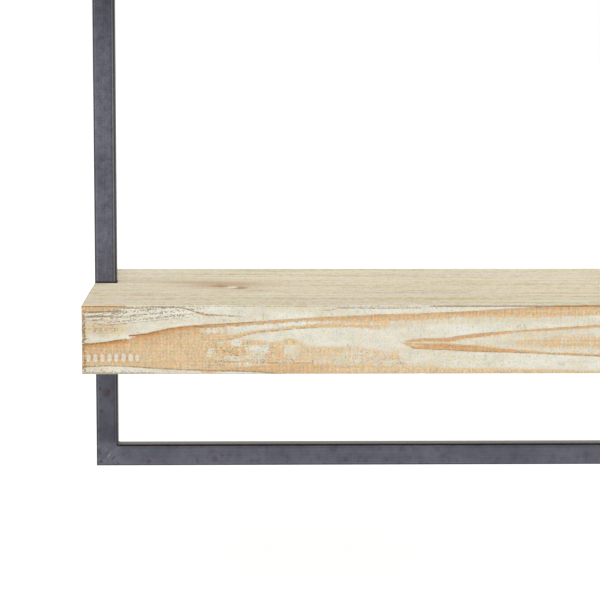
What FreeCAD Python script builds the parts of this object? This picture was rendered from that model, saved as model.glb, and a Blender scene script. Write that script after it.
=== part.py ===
import FreeCAD, Part
import os
import Sketcher

# Wall-hung shelving unit: a flat rectangular frame of welded square steel tube,
# and thick plank shelves notched around its two uprights.
# X runs to the right, Y towards the wall and Z up. The origin is the centre of
# the middle shelf's rear face, which lies on the wall.

# Driving sizes, in millimetres
SIZES = {
    # welded frame
    "frame_width": 700.0,        # outside of one upright to outside of the other
    "tube_side": 20.0,           # square tube, across its flats
    "tube_wall": 1.5,
    "tube_corner": 2.0,          # outer radius of the tube's long edges
    "weld_leg": 2.6,             # inner corner bead, along either tube
    # shelves
    "shelf_depth": 300.0,
    "shelf_thickness": 60.0,
    "shelf_pitch": 400.0,        # one shelf to the next
    "shelf_inset": 1.0,          # shelf corner to the outside of the upright
    "shelf_bow": 1.0,            # swell of a shelf's end at mid depth
    "shelf_edge": 1.5,           # flat that breaks each outer edge
    "rail_gap": 95.0,            # rail to the nearest shelf, clear
    "frame_setback": 172.0,      # shelf's front face to the front of the tubes
    "notch_play": 1.0,           # shelf to tube, inside a notch
    # support tabs welded to the uprights, one under each shelf end
    "tab_length": 46.0,
    "tab_thickness": 4.0,
    "tab_tip_round": 5.0,
    "tab_hole_edge": 9.0,        # tip of the tab to one hole
    "tab_hole_root": 15.0,       # upright to the other hole
    "tab_hole_play": 0.25,       # screw to tab, all round
    "tab_weld_leg": 3.0,         # bead under a tab, along the tab and the upright
    # pan-head wood screws through the tabs
    "pan_shank": 4.5,
    "pan_length": 30.0,
    "pan_tip": 5.0,
    "pan_head": 9.0,
    "pan_head_height": 2.8,
    # keyhole hangers let into the rear faces of the shelves
    "hanger_inset": 100.0,       # outside of the frame in to the middle of a hanger
    "hanger_width": 56.0,
    "hanger_height": 34.0,
    "hanger_thickness": 2.0,
    "hanger_corner": 4.0,
    "hanger_play": 0.3,          # hanger to the sides of its recess
    "hanger_hole_edge": 8.0,     # end of the hanger to its screw hole
    "hanger_hole_play": 0.25,    # screw to hanger, all round
    "key_entry": 10.0,           # diameter that the wall screw's head goes through
    "key_slot": 5.0,             # width that it hangs in
    "key_rise": 11.0,            # centre of the entry to the centre of the slot's end
    "key_drop": 6.0,             # centre of the hanger down to the centre of the entry
    "key_pocket_side": 3.0,      # wood pocket around the entry, all round
    "key_pocket_depth": 9.0,     # wood pocket behind the hanger
    # countersunk screws that hold the hangers
    "flat_shank": 4.0,
    "flat_length": 28.0,
    "flat_tip": 4.5,
    "flat_head": 7.4,
    # common
    "pilot_play": 0.1,           # screw to its hole in the wood, all round
    "overrun": 2.0,              # how far a cut reaches past what it cuts
}

# Small forms, as shares of the sizes that they follow
WELD_FACE_SHARE = 0.42           # how far a bead's hollow face stands out, of its leg
HEAD_TOP_SHARE = 0.66            # flat on top of a pan head, of the head's radius
HEAD_SIDE_SHARE = 0.50           # upright side of a pan head, of its height
TIP_SHARE = 0.15                 # blunt end of a screw, of its shank's radius

SHELF_NAMES = ("bottom", "middle", "top")


class Size:
    """A length: its present value, and the formula that binds it to the sheet."""

    def __init__(self, formula, value):
        self.formula = formula
        self.value = value

    def __add__(self, other):
        return Size(f"({self.formula} + {other.formula})", self.value + other.value)

    def __sub__(self, other):
        return Size(f"({self.formula} - {other.formula})", self.value - other.value)

    def __neg__(self):
        return Size(f"(0 - {self.formula})", -self.value)

    def __mul__(self, share):
        return Size(f"({self.formula} * {share})", self.value * share)

    def __truediv__(self, parts):
        return Size(f"({self.formula} / {parts})", self.value / parts)


ZERO = Size("0", 0.0)


def make_sheet(doc):
    """Writes the driving sizes into a spreadsheet, one alias to a row."""
    sheet = doc.addObject("Spreadsheet::Sheet", "Sizes")
    for row, (alias, number) in enumerate(SIZES.items(), start=1):
        sheet.set(f"A{row}", alias)
        sheet.set(f"B{row}", str(number))
        sheet.setAlias(f"B{row}", alias)
    doc.recompute()
    return sheet


doc = FreeCAD.newDocument("ShelvingUnit")
sheet = make_sheet(doc)


def size(alias):
    """The sheet's cell of this name, as a length that formulas can be made of."""
    return Size(f"Sizes.{alias}", float(sheet.get(alias)))


# Sizes worked out once, where several pieces need them
tube = size("tube_side")
half_tube = tube / 2
shelf_half_thickness = size("shelf_thickness") / 2
frame_half_width = size("frame_width") / 2
frame_half_height = size("shelf_pitch") + shelf_half_thickness + size("rail_gap") + tube
tube_axis_y = size("frame_setback") + half_tube - size("shelf_depth")
upright_face_x = frame_half_width - tube
tab_tip_x = upright_face_x - size("tab_length")
tab_screw_xs = (tab_tip_x + size("tab_hole_edge"), upright_face_x - size("tab_hole_root"))
hanger_x = frame_half_width - size("hanger_inset")
hanger_screw_dx = size("hanger_width") / 2 - size("hanger_hole_edge")
key_entry_z = -size("key_drop")


def vector(x, y):
    """A sketch point from two lengths."""
    return FreeCAD.Vector(x.value, y.value, 0)


def bind(target, prop, length):
    """Ties one property of an object to the sheet."""
    target.setExpression(prop, length.formula)


def new_body(label):
    """An empty body, named after its node."""
    body = doc.addObject("PartDesign::Body", label)
    body.Label = label
    return body


def new_sketch(body, name, role="XY_Plane", offset=ZERO):
    """A sketch on one of the body's own planes, moved along the plane's normal."""
    sketch = body.newObject("Sketcher::SketchObject", f"{body.Name}_{name}")
    plane = next(f for f in body.Origin.OriginFeatures if f.Role == role)
    sketch.AttachmentSupport = [(plane, "")]
    sketch.MapMode = "FlatFace"
    if offset is not ZERO:
        bind(sketch, "AttachmentOffset.Base.z", offset)
    return sketch


def fix_point(sketch, geometry, end, x, y):
    """Holds one end of a sketch line or arc at a place measured from the origin."""
    for kind, length, axis in (("DistanceX", x, -2), ("DistanceY", y, -1)):
        if length is ZERO:
            sketch.addConstraint(Sketcher.Constraint("PointOnObject", geometry, end, axis))
        else:
            constraint = Sketcher.Constraint(kind, -1, 1, geometry, end, length.value)
            index = sketch.addConstraint(constraint)
            bind(sketch, f"Constraints[{index}]", length)


def draw_outline(sketch, corners, through=None):
    """A closed outline. through gives, for a side's number, the point its arc passes."""
    through = through or {}
    count = len(corners)
    sides = []
    for number, (x, y) in enumerate(corners):
        next_x, next_y = corners[(number + 1) % count]
        start = vector(x, y)
        end = vector(next_x, next_y)
        if number in through:
            side = Part.Arc(start, vector(*through[number]), end)
        else:
            side = Part.LineSegment(start, end)
        sides.append(sketch.addGeometry(side, False))
    starts = [side_end(sketch, side, corner) for side, corner in zip(sides, corners)]
    for number, side in enumerate(sides):
        following = (number + 1) % count
        own_end = 3 - starts[number]
        join = Sketcher.Constraint("Coincident", side, own_end, sides[following], starts[following])
        sketch.addConstraint(join)
        fix_point(sketch, side, starts[number], *corners[number])
    for number, point in through.items():
        mark = sketch.addGeometry(Part.Point(vector(*point)), True)
        fix_point(sketch, mark, 1, *point)
        sketch.addConstraint(Sketcher.Constraint("PointOnObject", mark, 1, sides[number]))


def side_end(sketch, geometry, corner):
    """Which end of a line or arc, 1 or 2, lies at a corner: an arc may be stored reversed."""
    place = vector(*corner)
    gaps = [sketch.getPoint(geometry, end).distanceToPoint(place) for end in (1, 2)]
    return 1 if gaps[0] <= gaps[1] else 2


def draw_rectangle(sketch, left, bottom, right, top):
    """A plain rectangle between two pairs of sides."""
    draw_outline(sketch, [(left, bottom), (right, bottom), (right, top), (left, top)])


# A quarter arc's middle lies this share of its radius in from the square corner
QUARTER_SHARE = 1 - 0.5 ** 0.5


def draw_rounded(sketch, left, bottom, right, top, radius):
    """A rectangle with four equal round corners."""
    near = radius * QUARTER_SHARE
    corners = [
        (left + radius, bottom), (right - radius, bottom),
        (right, bottom + radius), (right, top - radius),
        (right - radius, top), (left + radius, top),
        (left, top - radius), (left, bottom + radius),
    ]
    through = {
        1: (right - near, bottom + near),
        3: (right - near, top - near),
        5: (left + near, top - near),
        7: (left + near, bottom + near),
    }
    draw_outline(sketch, corners, through)


def draw_circle(sketch, x, y, diameter):
    """A circle at a place measured from the origin."""
    radius = diameter / 2
    circle = Part.Circle(vector(x, y), FreeCAD.Vector(0, 0, 1), radius.value)
    geometry = sketch.addGeometry(circle, False)
    fix_point(sketch, geometry, 3, x, y)
    index = sketch.addConstraint(Sketcher.Constraint("Radius", geometry, radius.value))
    bind(sketch, f"Constraints[{index}]", radius)


def pad(body, sketch, length, midplane=False, reverse=False):
    """A sketch made solid."""
    feature = body.newObject("PartDesign::Pad", f"{sketch.Name}_pad")
    feature.Profile = sketch
    feature.Midplane = midplane
    feature.Reversed = reverse
    bind(feature, "Length", length)
    doc.recompute()
    return feature


def pocket(body, sketch, depth, midplane=False, reverse=False):
    """A sketch cut out of the body, with proof that it cut something."""
    before = body.Shape.Volume
    feature = body.newObject("PartDesign::Pocket", f"{sketch.Name}_pocket")
    feature.Profile = sketch
    feature.Midplane = midplane
    feature.Reversed = reverse
    bind(feature, "Length", depth)
    doc.recompute()
    if not body.Shape.Volume < before:
        raise RuntimeError(f"{feature.Name} cuts nothing")
    return feature


def revolve(body, sketch):
    """A half outline turned about the sketch's upright axis."""
    feature = body.newObject("PartDesign::Revolution", f"{sketch.Name}_turned")
    feature.Profile = sketch
    feature.ReferenceAxis = (sketch, ["V_Axis"])
    feature.Angle = 360
    doc.recompute()
    return feature


def place(target, x, y, z, axis=None, degrees=0.0):
    """Puts an object in the unit's own axes, turned about one of them first."""
    if axis:
        target.Placement = FreeCAD.Placement(
            FreeCAD.Vector(), FreeCAD.Rotation(FreeCAD.Vector(*axis), degrees))
    for name, length in (("x", x), ("y", y), ("z", z)):
        bind(target, f"Placement.Base.{name}", length)


# Frame

X_AXIS = (1, 0, 0)
Y_AXIS = (0, 1, 0)


def make_tube(label, length):
    """A tube standing on Z, mitred at both ends. Its longer, outer side faces -X."""
    body = new_body(label)
    section = new_sketch(body, "section")
    draw_rounded(section, -half_tube, -half_tube, half_tube, half_tube, size("tube_corner"))
    bore = half_tube - size("tube_wall")
    bore_corner = size("tube_corner") - size("tube_wall")
    draw_rounded(section, -bore, -bore, bore, bore, bore_corner)
    pad(body, section, length)

    past = size("overrun")
    far = half_tube + past
    mitres = new_sketch(body, "mitres", "XZ_Plane")
    draw_outline(mitres, [(-far, -past), (far, -past), (far, tube + past)])
    draw_outline(mitres, [(-far, length + past), (far, length - tube - past), (far, length + past)])
    pocket(body, mitres, tube + past * 2, midplane=True)
    return body


def make_frame():
    """Two uprights and two rails, mitred into one rectangle."""
    width = size("frame_width")
    height = frame_half_height * 2
    axis_x = frame_half_width - half_tube
    axis_z = frame_half_height - half_tube
    tubes = (
        ("left_upright", height, -axis_x, -frame_half_height, 0),
        ("bottom_rail", width, frame_half_width, -axis_z, -90),
        ("right_upright", height, axis_x, frame_half_height, 180),
        ("top_rail", width, -frame_half_width, axis_z, 90),
    )
    nodes = []
    for label, length, x, z, turn in tubes:
        body = make_tube(label, length)
        place(body, x, tube_axis_y, z, Y_AXIS, turn)
        nodes.append(body)
    return nodes


def make_welds():
    """The bead inside each corner of the frame, across the flat of the tubes."""
    leg = size("weld_leg")
    face = leg * WELD_FACE_SHARE
    inner_x = upright_face_x
    inner_z = frame_half_height - tube
    corners = (
        ("weld_bottom_left", -inner_x, -inner_z, 0),
        ("weld_top_left", -inner_x, inner_z, 90),
        ("weld_top_right", inner_x, inner_z, 180),
        ("weld_bottom_right", inner_x, -inner_z, 270),
    )
    nodes = []
    for label, x, z, turn in corners:
        body = new_body(label)
        section = new_sketch(body, "section", "XZ_Plane")
        draw_outline(section, [(ZERO, ZERO), (leg, ZERO), (ZERO, leg)], {1: (face, face)})
        pad(body, section, tube - size("tube_corner") * 2, midplane=True)
        place(body, x, tube_axis_y, z, Y_AXIS, turn)
        nodes.append(body)
    return nodes


# Shelves

def break_all_edges(body, width):
    """Planes a narrow flat on every edge that the body has so far."""
    base = body.Tip
    feature = body.newObject("PartDesign::Chamfer", f"{body.Name}_edges")
    edges = [f"Edge{number + 1}" for number in range(len(base.Shape.Edges))]
    feature.Base = (base, edges)
    bind(feature, "Size", width)
    doc.recompute()


def make_shelf(label):
    """A plank, notched at both ends for the uprights. Its rear face is at Y 0."""
    body = new_body(label)
    depth = size("shelf_depth")
    end = frame_half_width - size("shelf_inset")
    crest = end + size("shelf_bow")
    middle = -depth / 2
    outline = new_sketch(body, "outline")
    corners = [(-end, -depth), (end, -depth), (end, ZERO), (-end, ZERO)]
    draw_outline(outline, corners, {1: (crest, middle), 3: (-crest, middle)})
    pad(body, outline, size("shelf_thickness"), midplane=True)
    break_all_edges(body, size("shelf_edge"))

    notches = new_sketch(body, "notches")
    inner = upright_face_x - size("notch_play")
    outer = frame_half_width + size("overrun")
    reach = half_tube + size("notch_play")
    front = tube_axis_y - reach
    back = tube_axis_y + reach
    draw_rectangle(notches, inner, front, outer, back)
    draw_rectangle(notches, -outer, front, -inner, back)
    pocket(body, notches, size("shelf_thickness") + size("overrun"), midplane=True)

    drill_tab_pilots(body)
    sink_hanger_seats(body)
    return body


def drill_tab_pilots(body):
    """Blind holes in the underside, one for each screw that comes up through a tab."""
    pilots = new_sketch(body, "tab_pilots", offset=-shelf_half_thickness)
    bore = size("pan_shank") + size("pilot_play") * 2
    for x in tab_screw_xs:
        draw_circle(pilots, x, tube_axis_y, bore)
        draw_circle(pilots, -x, tube_axis_y, bore)
    depth = size("pan_length") - size("tab_thickness") + size("pilot_play")
    pocket(body, pilots, depth, reverse=True)


def sink_hanger_seats(body):
    """Recesses for the two hangers, with their screw holes and the head's pocket."""
    reach_x = size("hanger_width") / 2 + size("hanger_play")
    reach_z = size("hanger_height") / 2 + size("hanger_play")
    corner = size("hanger_corner") + size("hanger_play")
    entry_reach = size("key_entry") / 2 + size("key_pocket_side")
    pocket_top = key_entry_z + size("key_rise") + entry_reach
    bore = size("flat_shank") + size("pilot_play") * 2

    recess = new_sketch(body, "recess", "XZ_Plane")
    keys = new_sketch(body, "head_pocket", "XZ_Plane")
    pilots = new_sketch(body, "hanger_pilots", "XZ_Plane")
    # the head's pocket is milled with nearly round ends, so that its short sides keep a length
    pocket_corner = entry_reach - size("pilot_play")
    for centre in (hanger_x, -hanger_x):
        draw_rounded(recess, centre - reach_x, -reach_z, centre + reach_x, reach_z, corner)
        draw_rounded(keys, centre - entry_reach, key_entry_z - entry_reach,
                     centre + entry_reach, pocket_top, pocket_corner)
        draw_circle(pilots, centre - hanger_screw_dx, ZERO, bore)
        draw_circle(pilots, centre + hanger_screw_dx, ZERO, bore)
    pocket(body, recess, size("hanger_thickness"), reverse=True)
    pocket(body, keys, size("hanger_thickness") + size("key_pocket_depth"), reverse=True)
    pocket(body, pilots, size("flat_length") + size("pilot_play"), reverse=True)


# Support tabs

def make_tab(label, x, z, turn):
    """A flat tab that reaches +X from an upright, its top at Z 0 under the shelf, with the
    bead that welds its root from below."""
    body = new_body(label)
    length = size("tab_length")
    half_width = half_tube - size("tube_corner")
    tip = size("tab_tip_round")
    near = tip * QUARTER_SHARE
    plan = new_sketch(body, "plan")
    corners = [
        (ZERO, -half_width), (length - tip, -half_width),
        (length, -half_width + tip), (length, half_width - tip),
        (length - tip, half_width), (ZERO, half_width),
    ]
    through = {1: (length - near, -half_width + near), 3: (length - near, half_width - near)}
    draw_outline(plan, corners, through)
    pad(body, plan, size("tab_thickness"), reverse=True)

    leg = size("tab_weld_leg")
    face = leg * WELD_FACE_SHARE
    underside = -size("tab_thickness")
    bead = new_sketch(body, "bead", "XZ_Plane")
    draw_outline(bead, [(ZERO, underside - leg), (leg, underside), (ZERO, underside)],
                 {0: (face, underside - face)})
    pad(body, bead, half_width * 2, midplane=True)

    holes = new_sketch(body, "holes")
    bore = size("pan_shank") + size("tab_hole_play") * 2
    for hole_x in (size("tab_hole_root"), length - size("tab_hole_edge")):
        draw_circle(holes, hole_x, ZERO, bore)
    pocket(body, holes, size("tab_thickness") + size("overrun"))
    place(body, x, tube_axis_y, z, (0, 0, 1), turn)
    return body


# Screws

def make_pan_screw():
    """A pan-head wood screw, pointing +Z from the underside of its head at Z 0."""
    body = new_body("pan_screw")
    profile = new_sketch(body, "profile", "XZ_Plane")
    shank = size("pan_shank") / 2
    head = size("pan_head") / 2
    height = size("pan_head_height")
    length = size("pan_length")
    corners = [
        (ZERO, -height), (head * HEAD_TOP_SHARE, -height),
        (head, -height * HEAD_SIDE_SHARE), (head, ZERO), (shank, ZERO),
        (shank, length - size("pan_tip")), (shank * TIP_SHARE, length), (ZERO, length),
    ]
    draw_outline(profile, corners)
    revolve(body, profile)
    return body


def make_flat_screw():
    """A countersunk wood screw, pointing +Z from the face of its head at Z 0."""
    body = new_body("flat_screw")
    profile = new_sketch(body, "profile", "XZ_Plane")
    shank = size("flat_shank") / 2
    head = size("flat_head") / 2
    length = size("flat_length")
    corners = [
        (ZERO, ZERO), (head, ZERO), (shank, head - shank),
        (shank, length - size("flat_tip")), (shank * TIP_SHARE, length), (ZERO, length),
    ]
    draw_outline(profile, corners)
    revolve(body, profile)
    return body


def make_group(label, original, spots, axis=None, degrees=0.0):
    """Copies of one screw at several spots, kept together as one node."""
    copies = []
    for number, (x, y, z) in enumerate(spots, start=1):
        copy = doc.addObject("App::Link", f"{label}_{number}")
        copy.LinkedObject = original
        place(copy, x, y, z, axis, degrees)
        copies.append(copy)
    group = doc.addObject("Part::Compound", label)
    group.Label = label
    group.Links = copies
    return group


# Hangers

def make_hanger(label, x, z):
    """A keyhole plate, let into a shelf with its back flush with the rear face."""
    body = new_body(label)
    thickness = size("hanger_thickness")
    half_width = size("hanger_width") / 2
    half_height = size("hanger_height") / 2
    plate = new_sketch(body, "plate", "XZ_Plane")
    draw_rounded(plate, -half_width, -half_height, half_width, half_height, size("hanger_corner"))
    pad(body, plate, thickness)

    through = thickness + size("overrun")
    entry = new_sketch(body, "entry", "XZ_Plane")
    draw_circle(entry, ZERO, key_entry_z, size("key_entry"))
    pocket(body, entry, through, reverse=True)

    slot = new_sketch(body, "slot", "XZ_Plane")
    half_slot = size("key_slot") / 2
    slot_top = key_entry_z + size("key_rise")
    corners = [
        (-half_slot, key_entry_z), (half_slot, key_entry_z),
        (half_slot, slot_top), (-half_slot, slot_top),
    ]
    draw_outline(slot, corners, {2: (ZERO, slot_top + half_slot)})
    pocket(body, slot, through, reverse=True)

    holes = new_sketch(body, "holes", "XZ_Plane")
    bore = size("flat_shank") + size("hanger_hole_play") * 2
    for hole_x in (-hanger_screw_dx, hanger_screw_dx):
        draw_circle(holes, hole_x, ZERO, bore)
    pocket(body, holes, through, reverse=True)
    countersink(body, bore, (size("flat_head") - size("flat_shank")) / 2)
    place(body, x, ZERO, z)
    return body


# Two lengths that differ by less than this, in millimetres, count as equal
SAME = 1e-6


def countersink(body, bore, depth):
    """Opens the rear rims of the screw holes to a cone."""
    base = body.Tip
    radius = bore.value / 2
    rims = []
    for number, edge in enumerate(base.Shape.Edges, start=1):
        curve = edge.Curve
        is_rim = curve.TypeId == "Part::GeomCircle" and abs(curve.Radius - radius) < SAME
        if is_rim and abs(curve.Center.y) < SAME:
            rims.append(f"Edge{number}")
    feature = body.newObject("PartDesign::Chamfer", f"{body.Name}_countersinks")
    feature.Base = (base, rims)
    bind(feature, "Size", depth)
    doc.recompute()


# Assembly

nodes = make_frame() + make_welds()
pan_screw = make_pan_screw()
flat_screw = make_flat_screw()
for level, name in enumerate(SHELF_NAMES, start=-1):
    height = size("shelf_pitch") * level
    underside = height - shelf_half_thickness

    shelf = make_shelf(f"{name}_shelf")
    place(shelf, ZERO, ZERO, height)
    nodes.append(shelf)

    nodes.append(make_tab(f"{name}_left_tab", -upright_face_x, underside, 0))
    nodes.append(make_tab(f"{name}_right_tab", upright_face_x, underside, 180))
    head_seat = underside - size("tab_thickness")
    spots = [(x * side, tube_axis_y, head_seat) for side in (-1, 1) for x in tab_screw_xs]
    nodes.append(make_group(f"{name}_tab_screws", pan_screw, spots))

    nodes.append(make_hanger(f"{name}_left_hanger", -hanger_x, height))
    nodes.append(make_hanger(f"{name}_right_hanger", hanger_x, height))
    spots = [(hanger_x * side + hanger_screw_dx * end, ZERO, height)
             for side in (-1, 1) for end in (-1, 1)]
    nodes.append(make_group(f"{name}_hanger_screws", flat_screw, spots, X_AXIS, 90))

doc.recompute()

# Every object and every piece is checked before anything is written
for item in doc.Objects:
    if "Invalid" in item.State or "Error" in item.State:
        raise RuntimeError(f"{item.Name} failed: {item.State}")
for node in nodes:
    if node.Shape.isNull() or not node.Shape.isValid():
        raise RuntimeError(f"{node.Label} has no valid shape")

os.makedirs("parts", exist_ok=True)
for node in nodes:
    node.Shape.exportStep(f"parts/{node.Label}.step")
    box = node.Shape.BoundBox
    print(f"{node.Label}: {len(node.Shape.Solids)} solids, {node.Shape.Volume:.0f} mm3, "
          f"X {box.XMin:.1f} to {box.XMax:.1f}, Y {box.YMin:.1f} to {box.YMax:.1f}, "
          f"Z {box.ZMin:.1f} to {box.ZMax:.1f}")
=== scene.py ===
import math

import bpy
import numpy as np
from mathutils import Matrix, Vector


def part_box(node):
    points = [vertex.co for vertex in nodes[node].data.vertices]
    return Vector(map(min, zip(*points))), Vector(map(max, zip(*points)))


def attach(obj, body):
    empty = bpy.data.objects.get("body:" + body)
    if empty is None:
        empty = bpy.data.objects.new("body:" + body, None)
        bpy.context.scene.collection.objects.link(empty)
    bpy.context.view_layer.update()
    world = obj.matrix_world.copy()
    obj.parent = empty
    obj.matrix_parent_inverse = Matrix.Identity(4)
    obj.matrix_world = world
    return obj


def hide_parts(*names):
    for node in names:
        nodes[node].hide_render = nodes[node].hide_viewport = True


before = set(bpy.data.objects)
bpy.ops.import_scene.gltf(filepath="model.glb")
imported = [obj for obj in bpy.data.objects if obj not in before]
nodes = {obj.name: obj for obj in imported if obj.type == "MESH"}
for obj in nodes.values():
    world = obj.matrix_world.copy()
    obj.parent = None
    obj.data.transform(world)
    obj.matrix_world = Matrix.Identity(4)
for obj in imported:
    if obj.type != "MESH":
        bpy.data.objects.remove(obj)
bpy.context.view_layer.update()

# The tubes of the frame
# Two uprights and two rails of 20 mm square tube, cold-rolled from steel strip and left raw under
# a thin lacquer. At the four corners they are mitred, welded and ground flush in front.
frame_corner = (350.0, 545.0)        # outside corner of the frame, from its middle
tube_side = 20.0
tube_front = -128.0
plank_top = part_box("middle_shelf")[1][2]               # in metres, as the pitch is
plank_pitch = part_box("top_shelf")[1][2] - plank_top
# across, height, size and strength of the rust spots near the lower left corner
rust_spots = ((-338.2, -473.2, 2.0, 0.95), (-340.0, -475.0, 6.5, 0.35), (-347.4, -510.8, 2.8, 0.50),
              (-348.2, -531.6, 4.2, 0.50), (-300.9, -541.1, 3.6, 0.50),
              (-237.5, -538.8, 4.4, 0.45), (-255.0, -539.6, 1.7, 0.40), (-329.5, -543.0, 1.7, 0.45))


def colour(code):
    """A colour's sRGB hex code as linear red, green, blue and alpha."""
    srgb = np.array([int(code[i:i + 2], 16) for i in (0, 2, 4)]) / 255
    linear = np.where(srgb <= 0.04045, srgb / 12.92, ((srgb + 0.055) / 1.055) ** 2.4)
    return (*(float(part) for part in linear), 1.0)


def add(tree, kind, sockets=None, out=0, **settings):
    """Adds a node. Settings are its properties, and sockets maps an input to a value or to
    another node's output. Gives back the output asked for, if the node has one."""
    node = tree.nodes.new("ShaderNode" + kind)
    for name, value in settings.items():
        setattr(node, name, value)
    for name, value in (sockets or {}).items():
        if isinstance(value, bpy.types.NodeSocket):
            tree.links.new(value, node.inputs[name])
        else:
            node.inputs[name].default_value = value
    return node.outputs[out] if len(node.outputs) else node


def new_material(name):
    """An empty material and its node tree."""
    material = bpy.data.materials.new(name)
    material.use_nodes = True
    material.node_tree.nodes.clear()
    return material, material.node_tree


def patterns(tree, place, sizes):
    """Noise for each named pattern. A size is the length in mm of one blotch along X, Y and Z,
    then how many finer layers lie on it; the place is scaled so that one blotch spans one unit."""
    made = {}
    for name, (*span, layers) in sizes.items():
        scaled = add(tree, "Mapping", {"Vector": place, "Scale": [1000 / s for s in span]})
        made[name] = add(tree, "TexNoise", {"Vector": scaled, "Scale": 1.0, "Detail": layers,
                                            "Roughness": 0.55})
    return made


def mixed(tree, noise, base, gains, clamp=False):
    """The base plus each noise, less its mean of one half, times its gain. It is held between 0
    and 1 if asked."""
    for name, gain in gains.items():
        part = add(tree, "Math", {0: noise[name], 1: -0.5}, operation="ADD")
        base = add(tree, "Math", {0: part, 1: gain, 2: base}, operation="MULTIPLY_ADD")
    return add(tree, "Math", {0: base, 1: 0.0}, operation="ADD", use_clamp=True) if clamp else base


# what makes a Mix node mix colours, and a MapRange node ease in and out
rgba = {"out": 2, "data_type": "RGBA"}
smooth = {"interpolation_type": "SMOOTHSTEP"}


def raw_steel(name, drawn):
    """Cold-rolled steel as it leaves the mill: a blue-grey skin, cloudy at a few millimetres, with
    faint lines along the tube where the rolls ran, and brown specks where the lacquer was thin.
    Drawn is which way the tube runs, up or across."""
    material, tree = new_material(name)
    place = add(tree, "TexCoord", out=3)
    # rolling lines are 0.2 mm apart on real strip, and are drawn 0.8 mm apart so that they show
    line = (0.8, 0.8, 160.0, 2) if drawn == "up" else (160.0, 0.8, 0.8, 2)
    noise = patterns(tree, place, {"cloud": (38, 38, 38, 3), "mottle": (5, 5, 5, 4), "line": line,
                                   "grit": (0.9, 0.9, 0.9, 1), "stain": (10, 10, 10, 3)})
    # the rails' skin is set lighter than the uprights': painted light, a lighter copy of the same
    # steel
    level = mixed(tree, noise, 0.38 if drawn == "up" else 0.58,
                  {"cloud": 0.5, "mottle": 0.65, "line": 0.5, "grit": 0.6})
    skin = add(tree, "Mix", {0: level, 6: colour("3A3A43"), 7: colour("828290")}, **rgba)
    coats = []                       # laid over the skin in turn: how much, and the colour

    # the frame is darker in blotches towards its foot, below the lowest plank: painted shade from
    # the plank, broken up by mottles in the skin
    axes = [add(tree, "SeparateXYZ", {0: place}, out=i) for i in range(3)]
    foot = add(tree, "MapRange", {0: axes[2], 1: -0.52, 2: -0.42, 3: 1.0, 4: 0.0})
    blotch = mixed(tree, noise, 0.12, {"stain": 0.9, "mottle": 1.1, "grit": 0.9}, clamp=True)
    coats.append((add(tree, "Math", {0: blotch, 1: foot}, operation="MULTIPLY"), "33333A"))

    # distance from the frame's corners and from the mitre, in metres, the same in all four
    across = add(tree, "Math", {0: axes[0]}, operation="ABSOLUTE")
    upward = add(tree, "Math", {0: axes[2]}, operation="ABSOLUTE")
    in_x = add(tree, "Math", {0: frame_corner[0] / 1000, 1: across}, operation="SUBTRACT")
    in_z = add(tree, "Math", {0: frame_corner[1] / 1000, 1: upward}, operation="SUBTRACT")
    off_mitre = add(tree, "Math", {0: in_x, 1: in_z}, operation="SUBTRACT")
    off_mitre = add(tree, "Math", {0: off_mitre}, operation="ABSOLUTE")
    reach = add(tree, "Math", {0: in_x, 1: in_z}, operation="MAXIMUM")
    joint = add(tree, "MapRange", {0: reach, 1: 0.020, 2: 0.026, 3: 1.0, 4: 0.0}, **smooth)
    seam = add(tree, "MapRange", {0: off_mitre, 1: 0.0002, 2: 0.0011, 3: 1.0, 4: 0.0}, **smooth)
    seam = add(tree, "Math", {0: seam, 1: joint}, operation="MULTIPLY")

    # grinding left the steel at the joint a little brighter
    coats.append((add(tree, "Math", {0: joint, 1: 0.20}, operation="MULTIPLY"), "8C8C98"))

    # the walls inside the frame carry a painted brown reflection of the planks' wood
    inner = add(tree, "Math", {0: in_x, 1: in_z}, operation="MINIMUM")
    face = add(tree, "MapRange", {0: axes[1], 1: -0.1262, 2: -0.1250, 3: 1.0, 4: 0.0}, **smooth)
    off_face = add(tree, "Math", {0: 1.0, 1: face}, operation="SUBTRACT")
    wood_reflection = add(tree, "MapRange", {0: inner, 1: 0.0190, 2: 0.0199, 3: 0.0, 4: 0.45})
    coats.append((add(tree, "Math", {0: wood_reflection, 1: off_face}, operation="MULTIPLY"), "6C5048"))

    # Each bend, 2 mm wide, has painted lines along it: how far in they lie, half their width, how
    # strong they are on an upright and on a rail, and their colour. The dark ones are painted shade
    # and dark reflections on the round edges, and the bright ones are painted highlights. They stop
    # at the ground joint, but not the outermost and the innermost, and the bright one inside is
    # dimmer at the foot, in the painted shade under the lowest plank.
    off_joint = add(tree, "Math", {0: 1.0, 1: joint}, operation="SUBTRACT")
    kept_face = add(tree, "Math", {0: face, 1: off_joint}, operation="MULTIPLY")
    above_foot = add(tree, "Math", {0: foot, 1: -0.75, 2: 1.0}, operation="MULTIPLY_ADD")
    unshaded_face = add(tree, "Math", {0: kept_face, 1: above_foot}, operation="MULTIPLY")
    for middle, half, on_upright, on_rail, tint, where in (
            (0.0005, 0.0009, 0.60, 0.60, "2A2A2E", face),
            (0.0021, 0.0005, 0.14, 0.08, "A4A8B4", kept_face),
            (0.0172, 0.0006, 0.40, 0.20, "2E3034", kept_face),
            (0.0184, 0.0007, 0.30, 0.00, "A09C98", unshaded_face),
            (0.0196, 0.0008, 0.55, 0.85, "241E1E", face)):
        strength = on_upright if drawn == "up" else on_rail
        along = add(tree, "Math", {0: inner, 1: middle}, operation="SUBTRACT")
        along = add(tree, "Math", {0: along}, operation="ABSOLUTE")
        along = add(tree, "MapRange", {0: along, 1: half * 0.6, 2: half * 1.4, 3: strength, 4: 0.0})
        coats.append((add(tree, "Math", {0: along, 1: where}, operation="MULTIPLY"), tint))
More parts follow.
